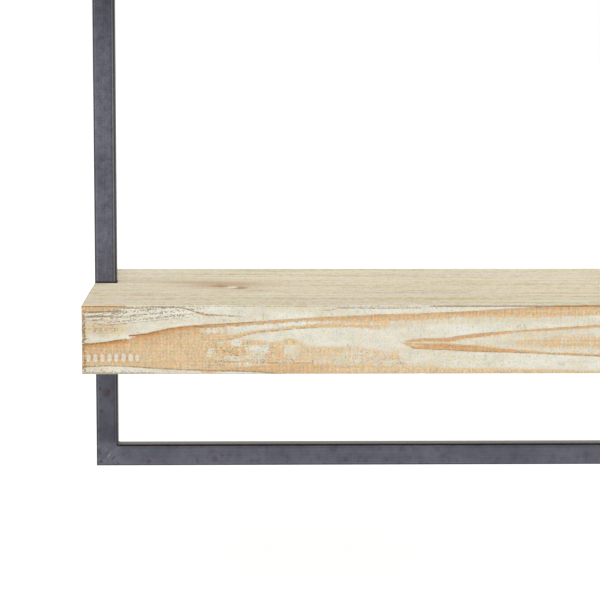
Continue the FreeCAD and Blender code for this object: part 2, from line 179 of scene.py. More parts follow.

    # a pale painted reflection of the bright surround lies on whatever faces up, stopping short of
    # the front
    facing = add(tree, "SeparateXYZ", {0: add(tree, "NewGeometry", out=1)}, out=2)
    top_sheen = add(tree, "MapRange", {0: facing, 1: 0.80, 2: 0.98, 3: 0.0, 4: 0.65})
    behind_front = add(tree, "MapRange", {0: axes[1], 1: -0.1250, 2: -0.1195, 3: 0.0, 4: 1.0})
    coats.append((add(tree, "Math", {0: top_sheen, 1: behind_front}, operation="MULTIPLY"), "CAC6C4"))
    coats.append((add(tree, "Math", {0: seam, 1: 0.14}, operation="MULTIPLY"), "3A3A40"))

    # scratches of the grinding disc, bright and dark, 7 mm long and slanted across the joints
    slant = add(tree, "Mapping", {"Vector": place, "Rotation": (0, math.radians(-45), 0),
                                  "Scale": (0.007, 0.007, 0.0007)}, vector_type="TEXTURE")
    scored = add(tree, "TexNoise", {"Vector": slant, "Scale": 1.0, "Detail": 1.0})
    for low, high, strength, tint in ((0.66, 0.74, 0.35, "A2A2A8"), (0.34, 0.26, 0.35, "34343A")):
        scratch = add(tree, "MapRange", {0: scored, 1: low, 2: high, 3: 0.0, 4: strength})
        coats.append((add(tree, "Math", {0: scratch, 1: joint}, operation="MULTIPLY"), tint))
    # the deepest marks, in the lower left joint and on the foot of the left upright: across,
    # height, length, width, rise in degrees and colour
    for x, z, length, width, rise, tint in (
            (-338.3, -534.7, 6.0, 1.5, 43, "A4A4AE"), (-341.3, -529.7, 4.6, 1.1, 47, "92929A"),
            (-334.2, -537.4, 7.0, 1.6, 50, "32323C"), (-345.4, -541.1, 4.6, 2.4, -28, "18181C"),
            (-330.0, -541.6, 3.4, 1.4, -60, "3A3A40"), (-337.0, -531.6, 3.4, 1.2, 52, "8C8C96"),
            (-346.1, -470.4, 4.4, 2.2, 80, "2C2C32"), (-345.1, -492.3, 3.6, 2.4, 70, "2C2A2E"),
            (-345.6, -481.5, 5.0, 1.6, 88, "3C3838")):
        mark = add(tree, "Mapping", {
            "Vector": place, "Location": (x / 1000, tube_front / 1000, z / 1000),
            "Rotation": (0, math.radians(-rise), 0),
            "Scale": (length / 2000, 0.003, width / 2000)}, vector_type="TEXTURE")
        mark = add(tree, "VectorMath", {0: mark}, out=1, operation="LENGTH")
        coats.append((add(tree, "MapRange", {0: mark, 1: 0.3, 2: 1.1, 3: 0.65, 4: 0.0}), tint))

    # a thin painted contact shadow darkens an upright just above where it goes into a plank
    over = add(tree, "Math", {0: axes[2], 1: plank_top}, operation="SUBTRACT")
    over = add(tree, "Math", {0: over, 1: plank_pitch / 2, 2: -plank_pitch / 2}, operation="WRAP")
    contact_shade = add(tree, "MapRange", {0: over, 1: 0.0007, 2: 0.0022, 3: 0.85, 4: 0.0})
    inside = add(tree, "MapRange", {0: over, 1: -0.03, 2: -0.02, 3: 0.0, 4: 1.0})
    coats.append((add(tree, "Math", {0: contact_shade, 1: inside}, operation="MULTIPLY"), "2B2521"))

    # rust: small stars of it scattered by cells, and the larger ones at the foot of the frame
    cells = add(tree, "Mapping", {"Vector": place, "Scale": [1000 / 34] * 3})
    star = add(tree, "TexVoronoi", {"Vector": cells, "Scale": 1.0, "Randomness": 1.0})
    star = add(tree, "MapRange", {0: star, 1: 0.03, 2: 0.075, 3: 1.0, 4: 0.0}, **smooth)
    wet = add(tree, "MapRange", {0: noise["stain"], 1: 0.52, 2: 0.64, 3: 0.0, 4: 0.8})
    rust = add(tree, "Math", {0: star, 1: wet}, operation="MULTIPLY")
    for x, z, size, strength in rust_spots:
        spot = add(tree, "VectorMath", {0: place, 1: (x / 1000, tube_front / 1000, z / 1000)},
                   out=1, operation="DISTANCE")
        spot = add(tree, "MapRange", {0: spot, 1: size / 3000, 2: size / 1000, 3: strength, 4: 0.0},
                   **smooth)
        rust = add(tree, "Math", {0: rust, 1: spot}, operation="MAXIMUM")
    worn = add(tree, "MapRange", {0: noise["grit"], 1: 0.35, 2: 0.60, 3: 0.4, 4: 1.0})
    rust = add(tree, "Math", {0: rust, 1: worn}, operation="MULTIPLY")
    coats.append((rust, "5A3A30"))

    for share, tint in coats:
        skin = add(tree, "Mix", {0: share, 6: skin, 7: colour(tint)}, **rgba)
    gloss = add(tree, "MapRange", {0: noise["mottle"], 1: 0.3, 2: 0.7, 3: 0.36, 4: 0.50})
    gloss = add(tree, "Math", {0: rust, 1: 0.35, 2: gloss}, operation="MULTIPLY_ADD")
    metal = add(tree, "Math", {0: rust, 1: -0.6, 2: 0.6}, operation="MULTIPLY_ADD")
    height = add(tree, "Math", {0: seam, 1: -1.2, 2: noise["mottle"]}, operation="MULTIPLY_ADD")
    height = add(tree, "Math", {0: noise["line"], 1: 0.5, 2: height}, operation="MULTIPLY_ADD")
    rough = add(tree, "Bump", {"Strength": 0.5, "Distance": 0.00012, "Height": height})
    # the oxide on the skin takes the shine off at a glance along it
    shader = add(tree, "BsdfPrincipled", {
        "Base Color": skin, "Metallic": metal, "Roughness": gloss, "Normal": rough,
        "Specular Tint": colour("848488")})
    add(tree, "OutputMaterial", {0: shader})
    return material


def finish_in(material, *names):
    """Gives the CAD nodes of these names a material."""
    for name in names:
        nodes[name].data.materials.clear()
        nodes[name].data.materials.append(material)


upright_steel = raw_steel("raw_cold_rolled_steel_upright", "up")
rail_steel = raw_steel("raw_cold_rolled_steel_rail", "across")
finish_in(upright_steel, "left_upright", "right_upright")
finish_in(rail_steel, "bottom_rail", "top_rail")

# The weld beads
# One short hollow fillet of MIG weld inside each corner of the frame, run from front to back where
# upright and rail meet. Its front end is ground flush, and the rest stays as laid, in fine ripples.
bead_leg = 2.6
bead_ends = (-127.8, -110.0)          # its front and its back
bead_hollow = 0.82                    # one for a round hollow that runs out flush on both tubes
bead_tail = 2.2                       # length over which its back end closes
bead_ripple = 2.1                     # one ripple to the next
bead_sink = 0.6                       # how deep it melts into the tubes
bead_inset = 0.1                      # how far it is drawn back into the corner all along
tube_corner = 2.0                     # radius of the tubes' round edges


def skin_over(rings):
    """Points and faces of a skin over rings of points, ring after ring, closed by a fan at each
    end. Rings run anticlockwise seen from the last one."""
    count, around = rings.shape[:2]
    first, after = np.arange(around), np.roll(np.arange(around), -1)
    start = np.arange(count - 1)[:, None] * around
    quads = np.stack([start + first, start + after, start + after + around,
                      start + first + around], axis=-1).reshape(-1, 4)
    points = np.concatenate([rings.reshape(-1, 3), rings[0].mean(0)[None], rings[-1].mean(0)[None]])
    low, high = count * around, count * around + 1
    top = (count - 1) * around
    fans = [np.stack([np.full(around, low), after, first], axis=-1),
            np.stack([np.full(around, high), top + first, top + after], axis=-1)]
    return points, quads.tolist() + np.concatenate(fans).tolist()


def new_piece(name, points, faces, material, sharp=40.0):
    """An object at the origin, from points in mm. Edges that turn more than sharp degrees stay
    crisp."""
    mesh = bpy.data.meshes.new(name)
    mesh.from_pydata((points / 1000).tolist(), [], faces)
    mesh.shade_smooth()
    mesh.set_sharp_from_angle(angle=math.radians(sharp))
    mesh.materials.append(material)
    piece = bpy.data.objects.new(name, mesh)
    bpy.context.scene.collection.objects.link(piece)
    return piece


def bead_rings(steps=64, around=20):
    """The bead as rings along its run, corner at zero and legs towards +X and +Z. Each ring reaches
    cos + sin, less the hollow times the root of sin 2t, times the leg: a round hollow from leg to
    leg. It swells with a wave for every ripple, tapers to the back and ends there as a square root.
    At the front it draws back into the corner as far as the tubes' own round edges do."""
    run = np.linspace(0, 1, steps)[:, None]
    length = bead_ends[1] - bead_ends[0]
    turn = np.linspace(0, math.pi / 2, around - 1)[None, :]
    ripple = 0.05 * np.abs(np.sin(math.pi * (run * length + 0.5 * np.sin(turn * 2)) / bead_ripple))
    uneven = 0.04 * np.sin(run * 9 + 1) + 0.03 * np.sin(run * 23 + turn * 2)
    end = np.sqrt(np.clip((1 - run) * length / bead_tail, 0.02, 1)) * (1 - 0.35 * run)
    bow = np.cos(turn) + np.sin(turn) - bead_hollow * np.sqrt(np.sin(2 * turn))
    reach = bead_leg * (bow + ripple + uneven) * end
    depth = np.clip(bead_ends[0] + run * length - tube_front, 0, tube_corner)
    back = tube_corner - np.sqrt(tube_corner ** 2 - (tube_corner - depth) ** 2) + bead_inset
    x = np.concatenate([-back - bead_sink, np.cos(turn) * reach - back], axis=1)
    z = np.concatenate([-back - bead_sink, np.sin(turn) * reach - back], axis=1)
    y = bead_ends[0] + run * length + np.zeros_like(x)
    return x, y, z


weld_steel, tree = new_material("mig_weld_as_laid")
# weld metal cools in a straw and blue tint over dull grey, rougher than the rolled skin round it
place = add(tree, "TexCoord", out=3)
noise = patterns(tree, place, {"tint": (3, 3, 3, 2), "scale": (0.8, 0.8, 0.8, 3)})
heat = add(tree, "MapRange", {0: noise["tint"], 1: 0.35, 2: 0.65, 3: 0.0, 4: 1.0})
skin = add(tree, "Mix", {0: heat, 6: colour("342E30"), 7: colour("5C5656")}, **rgba)
rough = add(tree, "Bump", {"Strength": 0.4, "Distance": 0.0002, "Height": noise["scale"]})
shader = add(tree, "BsdfPrincipled", {"Base Color": skin, "Metallic": 0.6, "Roughness": 0.48,
                                      "Normal": rough})
add(tree, "OutputMaterial", {0: shader})

for level, up in (("bottom", 1), ("top", -1)):
    for hand, inward in (("left", 1), ("right", -1)):
        x, y, z = bead_rings()
        x = -inward * (frame_corner[0] - tube_side) + inward * x
        z = -up * (frame_corner[1] - tube_side) + up * z
        rings = np.stack([x, y, z], axis=-1)
        # from leg to leg the points run clockwise seen from the back, so a bead that isn't
        # mirrored is turned
        points, faces = skin_over(rings if inward * up < 0 else rings[:, ::-1])
        bead = new_piece(f"bead_{level}_{hand}", points, faces, weld_steel, 50)
        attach(bead, "root")
        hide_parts(f"weld_{level}_{hand}")

# The planks
# Three planks of sawn softwood, 60 mm thick, notched at both ends to go round the uprights. The
# fronts kept their saw marks, and a white wash was brushed on and rubbed back, so that it stays in
# the pale wood and wears off the hard rings. The tops were planed before the wash.
plank_half = (349.0, 150.0, 30.0)
plank_middle = -150.0                # the planks reach from the wall to -300
plank_heights = {"bottom": -400.0, "middle": 0.0, "top": 400.0}
mesh_steps = (2.4, 4.6, 1.05)        # longest steps of the mesh along, across and up
end_swell = 1.0                      # how far the ends bow out
notch = (329.0, -129.0, -107.0)      # its wall, and its two sides
hanger_at = 250.0                    # to the left and the right of the middle
hanger_seat = (28.3, 17.3, 2.0)      # half width, half height and depth of the recess
key_pocket = (8.0, -14.0, 13.0, 11.0)     # half width, bottom, top and depth of the pocket in it
saw_pitch = 6.07                     # chatter marks of the saw, counted on the front
saw_start = 5.17                     # phase that puts the first about 5.6 mm in from the left end
wash_fuzz = 0.45                     # half the width over which the wash's edge fades
ring_width = 4.4                     # growth rings on the ends


def levels(stops, step):
    """Grid lines at every stop, with even steps no longer than step between them."""
    stops = np.unique(np.round(stops, 3))
    runs = [np.linspace(a, b, max(1, math.ceil((b - a) / step - 0.001)), endpoint=False)
            for a, b in zip(stops[:-1], stops[1:])]
    return np.append(np.concatenate(runs), stops[-1])


def rounded_stops(half, middle=0.0):
    """Stops close together at both edges, for the worn arrises to bend over."""
    near = np.array([0.0, 0.45, 1.0, 1.7, 2.6])
    return np.concatenate([middle - half + near, middle + half - near])


def wander(t, lengths, shift):
    """A wavering line between -1 and 1: the mean of one sine for each length, in mm."""
    return sum(np.sin(2 * math.pi * t / length + shift * (k + 1.7))
               for k, length in enumerate(lengths)) / len(lengths)


def plank_lattice():
    """Faces between a cell of wood and a cell of air, on a lattice that has a line at every wall
    of the notches and recesses. Gives the points, before they are worn, and the faces."""
    seat_x, seat_z, seat_deep = hanger_seat
    pocket_x, pocket_low, pocket_high, pocket_deep = key_pocket
    sides = [side * (hanger_at + part) for side in (-1, 1)
             for part in (-seat_x, seat_x, -pocket_x, pocket_x)]
    stops = ([*rounded_stops(plank_half[0]), -notch[0], notch[0], *sides],
             [*rounded_stops(plank_half[1], plank_middle), notch[1], notch[2], -seat_deep,
              -pocket_deep],
             [*rounded_stops(plank_half[2]), -seat_z, seat_z, pocket_low, pocket_high])
    lines = [levels(places, step) for places, step in zip(stops, mesh_steps)]
    x, y, z = np.meshgrid(*[(line[1:] + line[:-1]) / 2 for line in lines], indexing="ij")
    wood = np.ones(x.shape, bool)
    wood &= ~((np.abs(x) > notch[0]) & (y > notch[1]) & (y < notch[2]))
    off_hanger = np.abs(np.abs(x) - hanger_at)
    wood &= ~((off_hanger < seat_x) & (np.abs(z) < seat_z) & (y > -seat_deep))
    wood &= ~((off_hanger < pocket_x) & (z > pocket_low) & (z < pocket_high) & (y > -pocket_deep))
    shape = np.array([len(line) for line in lines])
    strides = np.array([shape[1] * shape[2], shape[2], 1])
    found = []
    for axis in range(3):
        b, c = strides[(axis + 1) % 3], strides[(axis + 2) % 3]
        width = [(1, 1) if k == axis else (0, 0) for k in range(3)]
        change = np.diff(np.pad(wood, width).astype(np.int8), axis=axis)
        for sign in (-1, 1):
            corner = np.argwhere(change == sign) @ strides
            quad = np.stack([corner, corner + b, corner + b + c, corner + c], axis=-1)
            found.append(quad if sign < 0 else quad[:, ::-1])
    used, faces = np.unique(np.concatenate(found), return_inverse=True)
    faces = faces.reshape(-1, 4)
    index = np.stack(np.unravel_index(used, shape), axis=-1)
    return np.stack([line[index[:, k]] for k, line in enumerate(lines)], axis=-1), faces


def wear(points, shift):
    """Rounds the arrises: a point further than the radius from the inner box is drawn back to it.
    The radius wavers along the edges and grows at a few chips. The ends swell as a parabola, and
    the sawn and planed faces dip by a tenth of a millimetre or so."""
    x, y, z = points.T
    along = x + 0.7 * y + 1.3 * z
    chips = np.clip(wander(along, (61, 23, 9.7), shift) - 0.55, 0, 1) * 2.4
    radius = 1.0 + 0.3 * wander(along, (190, 47, 13), shift + 2) + chips
    radius = np.clip(radius, 0.6, 2.5)[:, None]
    centred = points - (0, plank_middle, 0)
    inner = np.clip(centred, radius - plank_half, plank_half - radius)
    out = centred - inner
    length = np.linalg.norm(out, axis=1, keepdims=True)
    out *= np.minimum(1, radius / np.maximum(length, 1e-9))
    worn = inner + out
    past_notch = np.clip((np.abs(x) - notch[0] - 2) / (plank_half[0] - notch[0] - 2), 0, 1)
    swell = end_swell * (1 - ((y - plank_middle) / plank_half[1]) ** 2)
    rag = 0.15 * wander(z, (31, 11, 5), shift) - 0.15
    worn[:, 0] += np.sign(x) * past_notch * (swell + rag)
    # the last 3 mm to the front, and the last 2 mm to the top
    front = np.clip(1 - (y + 300) / 3, 0, 1)
    worn[:, 1] += front * (0.10 + 0.10 * wander(x + 0.3 * z, (83, 37, 17), shift))
    top = np.clip((z - 28) / 2, 0, 1)
    worn[:, 2] -= top * (0.09 + 0.09 * wander(y + 0.05 * x, (71, 29, 13), shift))
    return worn + (0, plank_middle, 0)


def wash_figure(u, v):
    """How the wash lies on a plank's face, u along it from the left and v up from its underside.
    Each growth ring is a line of heights. Wood is bare between some pairs of rings, so bare is the
    distance in mm inside the nearest pair. Also given: how far the wash's edge wavers, how thin it
    is, how deep the bare wood's colour is, the distance inside a thin dark line, and where specks
    and the saw's chatter show."""
    def ring(*points):
        """A line through points, each given as its place along and its height."""
        return np.interp(u, points[::2], points[1::2])

    def span(start, end, fade=8.0):
        """Zero outside start and end, and one from fade inside them."""
        return np.clip((u - start) / fade, 0, 1) * np.clip((end - u) / fade, 0, 1)

    def blob(at, size):
        """A patch that is one at its middle: e to the minus cube of the distance in half sizes."""
        return np.exp(-(((u - at[0]) / size[0]) ** 2 + ((v - at[1]) / size[1]) ** 2) ** 1.5)

    crest = ring(-90, 20, 0, 26.4, 17.5, 27.8, 32, 30.3, 38.6, 31.0, 39.6, 33.9, 55, 35.6,
                 74.9, 40.3, 88, 41.8, 105.5, 43.2, 133.4, 44.7, 151, 46, 177.5, 47.9,
                 203.8, 49.5, 230, 50.6, 256.5, 51.9, 289, 52.5, 315, 53.8, 341.7, 55.1,
                 359, 56.4, 400.6, 58.3, 440, 61, 520, 66, 620, 74, 900, 90)
    crest_under = ring(94, 44, 97, 40.7, 110, 40.7, 133, 41.8, 151, 43.1, 177.5, 45.1, 195, 45.7,
                       212.6, 45.9, 230, 44.6, 262.5, 45, 289, 46.3, 306.6, 47.6, 324, 48.4,
                       342, 48.9, 359, 48.6, 400.7, 49.2, 440, 50.4, 480, 53, 520, 57, 560, 62,
                       900, 80)
    second = ring(86, 20, 96, 30, 105.5, 31.9, 118.6, 34.1, 133, 34.9, 138, 36.3, 151, 38.7,
                  177.5, 41.3, 195, 43.1, 212.6, 44.1, 222, 44.2, 240, 41.5, 262, 38)
    second_under = ring(90, 24, 105.5, 28.3, 118.6, 29.2, 133, 30.5, 138, 32.9, 151, 35.8,
                        177.5, 38.4, 195, 39.7, 212.6, 40.1, 230, 40.6, 262, 41)
    foot = ring(-90, 9, 0, 6.5, 22, 7.2, 39.6, 6.7, 57, 5.3, 83.4, 4, 109.8, 3, 133, 2.5, 151, 1.8,
                178, -1, 900, -8)
    low_band = ring(96, 3, 124.7, 6.1, 146.7, 7.8, 168.7, 9.6, 195, 9.5, 221.5, 8.6, 262.8, 7.6,
                    289, 6.7, 315.8, 4.9, 342, 4.8, 369, 4.3, 401.5, 3.8, 440, 2.5, 500, 4, 560, 7,
                    620, 9, 700, 8, 800, 5, 900, 4)
    tongue = ring(258, 21, 272.4, 27.1, 280, 29.4, 289, 30.7, 302, 31.1, 315.5, 31.6, 324, 33.3,
                  342, 35.5, 368.4, 37.3, 400.9, 39.5, 440, 42.3, 480, 45, 520, 48.5, 560, 52.5,
                  600, 57, 650, 62, 900, 80)
    tongue_under = ring(258, 33, 272.4, 27.1, 278.6, 25, 284.8, 21.8, 298, 21.1, 315.7, 20.5,
                        333, 19.1, 351, 18.6, 368.7, 18.1, 401, 16.8, 440, 15, 480, 13.2, 520, 12,
                        560, 11.6, 600, 12, 700, 14, 900, 20)
    fork = ring(300, 24, 312, 27.1, 320, 28.5, 328.8, 29.8, 342, 31.5, 359.6, 33.7, 377, 35.9,
                401, 36.8, 440, 39.5, 480, 42.5, 520, 46, 560, 50, 600, 54.5, 650, 60, 900, 76)
    fork_under = ring(300, 30, 312, 27, 319, 26.2, 342, 24.4, 359.8, 22.6, 377.5, 20.8, 401, 19,
                      440, 17.2, 480, 15.8, 520, 15, 560, 14.8, 600, 15.2, 700, 17, 900, 23)
    core = ring(350, 22, 366, 27, 385, 30, 401, 32.6, 440, 34.5, 480, 36.4, 520, 38, 560, 38.8,
                600, 38, 640, 35, 668, 30, 690, 26)
    core_under = ring(350, 30, 366, 26.6, 385, 24, 401, 22.2, 440, 21, 480, 20.6, 520, 21.2,
                      560, 22.6, 600, 24.4, 640, 27, 668, 30, 690, 34)
    heart = ring(440, 24, 462, 28, 500, 31.6, 540, 32.8, 580, 32, 606, 29.6, 620, 27)
    heart_under = ring(440, 31, 462, 27.6, 500, 26, 540, 26.4, 580, 27.6, 606, 29.4, 620, 32)

    wide = np.minimum(np.minimum(crest - v, v - foot), (122 - u) * 0.12)
    # a last sliver of wash runs on under the step in the crest
    wide = np.minimum(wide, np.abs(v - ring(36, 31.4, 50, 33.8)) - ring(38, 1.6, 50, -0.6, 60, -9))
    bare = np.maximum(wide, np.minimum(crest - v, v - crest_under))
    bare = np.maximum(bare, np.minimum(second - v, v - second_under))
    low = np.minimum(low_band - v, v - foot)
    bare = np.maximum(bare, low)

    # between the second ring and the low band the wash is half rubbed away
    patchy = np.minimum(ring(96, 34, 130, 31, 150, 28, 180, 27, 200, 24, 235, 24, 255, 22, 272, 13,
                             288, 7, 900, 4) - v, v - low_band + 1)
    mottled = np.clip(patchy / 2, -1, 1) * span(98, 292, 10)
    bare = np.maximum(bare, np.minimum(patchy, 1) * 0.5 + ring(
        92, -9, 102, 1.2, 120, 1.0, 150, 0.2, 185, 0.2, 220, -0.4, 270, -0.8, 292, -4, 900, -9))
    # patches that lost more wash, above zero, or kept more: middle, half sizes and gain
    for at, size, gain in (
            ((146, 27.5), (10, 1.6), 2.0), ((166, 22.5), (6, 4.5), 2.4),
            ((178, 28.5), (7, 3.0), 2.8), ((130, 19.6), (8, 3.0), 2.4),
            ((150, 10.8), (30, 1.1), 2.0), ((202, 18.8), (21, 4.6), 0.5),
            ((107, 38.0), (10, 2.8), -1.0), ((151, 21), (12, 4.2), -2.6),
            ((131, 27.5), (6, 3.0), -2.6), ((127, 13), (11, 3.0), -3.0),
            ((110, 19), (4, 5.0), -2.6), ((148, 15), (7, 2.6), -2.6),
            ((180, 20.5), (7, 5.0), -2.8), ((213, 12.5), (12, 2.4), -2.4),
            ((150, 9.8), (22, 0.9), -2.0), ((240, 11), (24, 2.4), -2.4),
            ((250, 41), (14, 4.0), 2.2), ((272, 16), (9, 5.0), 1.4)):
        bare += blob(at, size) * gain
    # a tongue of bare wood, forked round a field of wash, with two slivers of wash near its tip
    split = np.minimum(np.minimum(tongue - v, v - tongue_under),
                       ring(258, -4, 270, 1, 290, 9, 900, 9))
    inside = np.minimum(fork - v, v - fork_under)
    split = np.minimum(split, -inside)
    split = np.minimum(split, np.abs(v - 27.5) - 0.60 + np.abs(u - 298) * 0.03)
    split = np.minimum(split, np.abs(v - 24.6 + (u - 286) * 0.08) - 0.3 + np.abs(u - 286) * 0.07)
    # in that field lies a bare core, with wash again at its heart
    nest = np.minimum(core - v, v - core_under)
    nest = np.minimum(nest, 1.2) - 0.5
    nest = np.minimum(nest, -np.minimum(heart - v, v - heart_under))
    bare = np.maximum(bare, np.maximum(split, nest))
    upper_left = np.minimum(v - ring(-90, 50, 1.5, 52.8, 13.7, 54.1, 27, 56.3, 37.4, 58.5, 60, 62),
                            3.0)
    bare = np.maximum(bare, upper_left)
    # a crack runs through the wash from the upper left corner, and the wood shows beside it
    vein = ring(35.6, 57.2, 50.5, 57.6, 62.7, 58.5, 83.7, 57.7, 88, 57.1, 96.8, 54, 106, 51.6,
                123, 50.9, 138, 50)
    beside = ring(88, -4, 98, 0.4, 105, 1.0, 112, 0.9, 121, 0.2, 130, -4)
    bare = np.maximum(bare, beside - np.abs(v - vein + 0.5))

    bare = np.clip(bare, -6, 3)
    rubbed = blob((202, 19), (24, 7))
    thin = 0.05 + 1.00 * blob((14, 40), (24, 6)) + 0.75 * rubbed
    thin += 0.18 * span(222, 318, 24) * np.clip((42 - v) / 8, 0, 1) * np.clip((v - 8) / 3, 0, 1)
    thin += 0.30 * span(138, 232, 16) * np.clip((v - 52) / 4, 0, 1)
    thin += 0.22 * span(-9, 130, 9) * np.clip(foot - v, 0, 1)
    thin += 0.12 * np.clip(mottled, 0, 1) + 0.30 * span(300, 900, 80) * np.clip(inside, 0, 1)
    thin += 0.45 * np.exp(-((v - crest_under + 2.0) / 3.0) ** 2) * span(200, 440, 30)
    thin += 0.30 * np.exp(-((v - low_band) / 2.5) ** 2) * span(98, 900, 10)

    # the edge of the wash wavers less beside the crest, the foot and the tongue
    ragged = 1.1 + 4.4 * np.clip(mottled, 0, 1) + 1.2 * np.clip(inside, 0, 1) * span(330, 900)
    ragged += 2.2 * span(225, 312, 20) * np.clip((43 - v) / 8, 0, 1) * (v > 8)
    ragged += 1.6 * np.exp(-((v - crest_under + 1.5) / 2.5) ** 2) * span(200, 420, 30)
    for edge in (crest, tongue, tongue_under, foot):
        ragged = np.minimum(ragged, 0.12 + 0.45 * np.abs(v - edge))
    # bare wood is deepest in colour just under the crest and in the tongue
    ember = 0.16 + 0.80 * np.exp(-np.abs(crest - 1.4 - v) / 2.2) * ring(0, 0.7, 60, 1, 120, 0.6,
                                                                        200, 0.45, 900, 0.45)
    ember += 0.20 * np.exp(-np.clip(crest - v, 0, 99) / 11) * span(-90, 110, 40)
    ember += 0.42 * np.clip(split, 0, 1)
    ember += 0.25 * np.clip(low, 0, 1) * span(0, 240, 60)
    ember -= 0.10 * np.clip(low, 0, 1) * span(180, 900, 60)
    ember -= 0.20 * blob((202, 18.8), (22, 6))

    # the saw's chatter left a row of hollows that hold wash at the left end, and a fainter row
    # under the crest
    chatter = np.exp(-((v - 14.2) / 3.2) ** 2) * span(0, 50, 3)
    upper_row = span(97, 142, 6) * np.exp(-((v - 37.5) / 2.8) ** 4)
    chatter = np.maximum(chatter, 0.28 * upper_row)
    ragged += 0.7 * chatter + 2.2 * upper_row
    thin += 0.45 * chatter
    ember += 0.30 * chatter

    # thin dark lines: their height, where they start and end, and half their width
    line = np.full(u.shape, -3.0)
    for path, start, end, half in (
            (vein, 34, 134, 0.52),
            (ring(4, 45.3, 18, 42.6, 31, 43.5, 40, 44.2, 66, 46.8, 83.7, 48.7, 101, 50.5), 10, 100,
             0.30),
            (ring(4, 53.6, 31, 54.8), 1, 34, 0.85), (ring(4, 50.0, 23, 50.4), 1, 27, 0.90),
            (ring(4, 46.8, 26, 46.9), 2, 28, 0.30),
            (ring(211, 55.2, 221, 57.4, 262, 56.9, 290, 57.3), 209, 292, 0.45),
            (crest - 0.5, -90, 70, 0.66), (crest - 0.5, 40, 150, 0.42),
            (crest - 0.5, 120, 900, 0.12), (foot + 0.1, -90, 170, 0.55),
            (58.9, -90, 40, 0.55), (58.9, 36, 900, 0.20), (58.9, 300, 900, 0.75),
            (tongue - 0.4, 276, 900, 0.20), (tongue_under + 0.4, 280, 900, 0.35),
            (crest_under, 96, 190, 0.25), (second_under + 0.6, 118, 200, 0.40),
            (1.2, -90, 60, 0.40), (ring(120, 10.6, 180, 9.4, 230, 9.6), 118, 200, 0.35)):
        ends = np.minimum(u - start, end - u) * 0.08
        line = np.maximum(line, np.minimum(half - np.abs(v - path), ends))

    # specks: in rows at the upper left, and then at the left end, under the top arris, at the
    # foot, at mid height on the left, and in the half rubbed wash
    speck = np.clip((v - ring(0, 42.5, 40, 43.5, 66, 46, 101, 50, 120, 56, 900, 64)) / 2, 0, 1)
    speck *= span(-2, 112, 12) * np.clip((60 - v) / 2, 0, 1)
    speck *= 0.66 + 0.30 * np.sin(2 * math.pi * (v - 0.11 * u - 45.0) / 3.9)
    speck *= 1 - 0.75 * np.clip(upper_left, 0, 1)
    speck = np.maximum(speck, np.exp(-((u - 1.0) / 3.0) ** 2) * (v > 2) * (v < 56))
    speck = np.maximum(speck, 0.6 * span(240, 352, 12) * np.exp(-((v - 57.3) / 1.2) ** 2))
    speck = np.maximum(speck, 0.5 * span(-9, 62, 9) * np.clip((foot - v) / 2, 0, 1))
    speck = np.maximum(speck, 0.70 * span(-2, 44, 12) * np.exp(-((v - 39) / 6) ** 2))
    speck = np.maximum(speck, 0.54 * np.clip(mottled, 0, 1) * (1 - 0.8 * rubbed))
    return {"bare_wood": bare, "wash_waver": ragged, "wash_thin": thin, "ember": ember,
            "dark_line": line, "speck": speck, "chatter": chatter}


plank_wood, tree = new_material("white_washed_sawn_softwood")
# A matt wash over bare softwood: chalky greenish white where it stays, orange to tan where the hard
# rings show through. It is broken up by fibres, brush strokes and specks of a millimetre or so.
place = add(tree, "TexCoord", out=3)
field = {name: add(tree, "Attribute", out=2, attribute_name=name) for name in (
    "bare_wood", "wash_waver", "wash_thin", "ember", "dark_line", "speck", "chatter", "knot",
    "ring_reach")}
noise = patterns(tree, place, {
    "crumb": (1.6, 1.6, 1.4, 2), "pit": (1.7, 1.0, 0.8, 1), "stroke": (1.9, 4, 8.5, 2),
    "fibre": (60, 0.9, 0.7, 2), "streak": (130, 5, 2.2, 3), "cloud": (34, 26, 9, 3),
    "haze": (90, 60, 40, 2), "sweep": (260, 12, 12, 3), "thread": (110, 6, 6, 2),
    "fleck": (7, 11, 8, 2)})

# front and back: the wash's edge is the figure's, moved to and fro by crumbs and brush strokes
waver = mixed(tree, noise, 0.0, {"crumb": 4.2, "stroke": 4.0, "streak": 1.4})
edge = add(tree, "Math", {0: waver, 1: field["wash_waver"], 2: field["bare_wood"]},
           operation="MULTIPLY_ADD")
across = add(tree, "SeparateXYZ", {0: place}, out=0)
phase = mixed(tree, noise, saw_start, {"haze": 2.0})
phase = add(tree, "Math", {0: across, 1: 2000 * math.pi / saw_pitch, 2: phase},
            operation="MULTIPLY_ADD")
saw = add(tree, "Math", {0: phase}, operation="SINE")
hollow = add(tree, "Math", {0: saw, 1: 1.0}, operation="ADD")
hollow = add(tree, "Math", {0: hollow, 1: field["chatter"]}, operation="MULTIPLY")
edge = add(tree, "Math", {0: hollow, 1: -5.0, 2: edge}, operation="MULTIPLY_ADD")
shown = add(tree, "MapRange", {0: edge, 1: -wash_fuzz, 2: wash_fuzz, 3: 0.0, 4: 1.0}, **smooth)

deep = mixed(tree, noise, field["ember"], {"streak": 0.8, "crumb": 0.5, "stroke": 0.8})
deep = add(tree, "Math", {0: saw, 1: 0.05, 2: deep}, operation="MULTIPLY_ADD", use_clamp=True)
timber = add(tree, "Mix", {0: deep, 6: colour("E2CAA3"), 7: colour("C98B4B")}, **rgba)
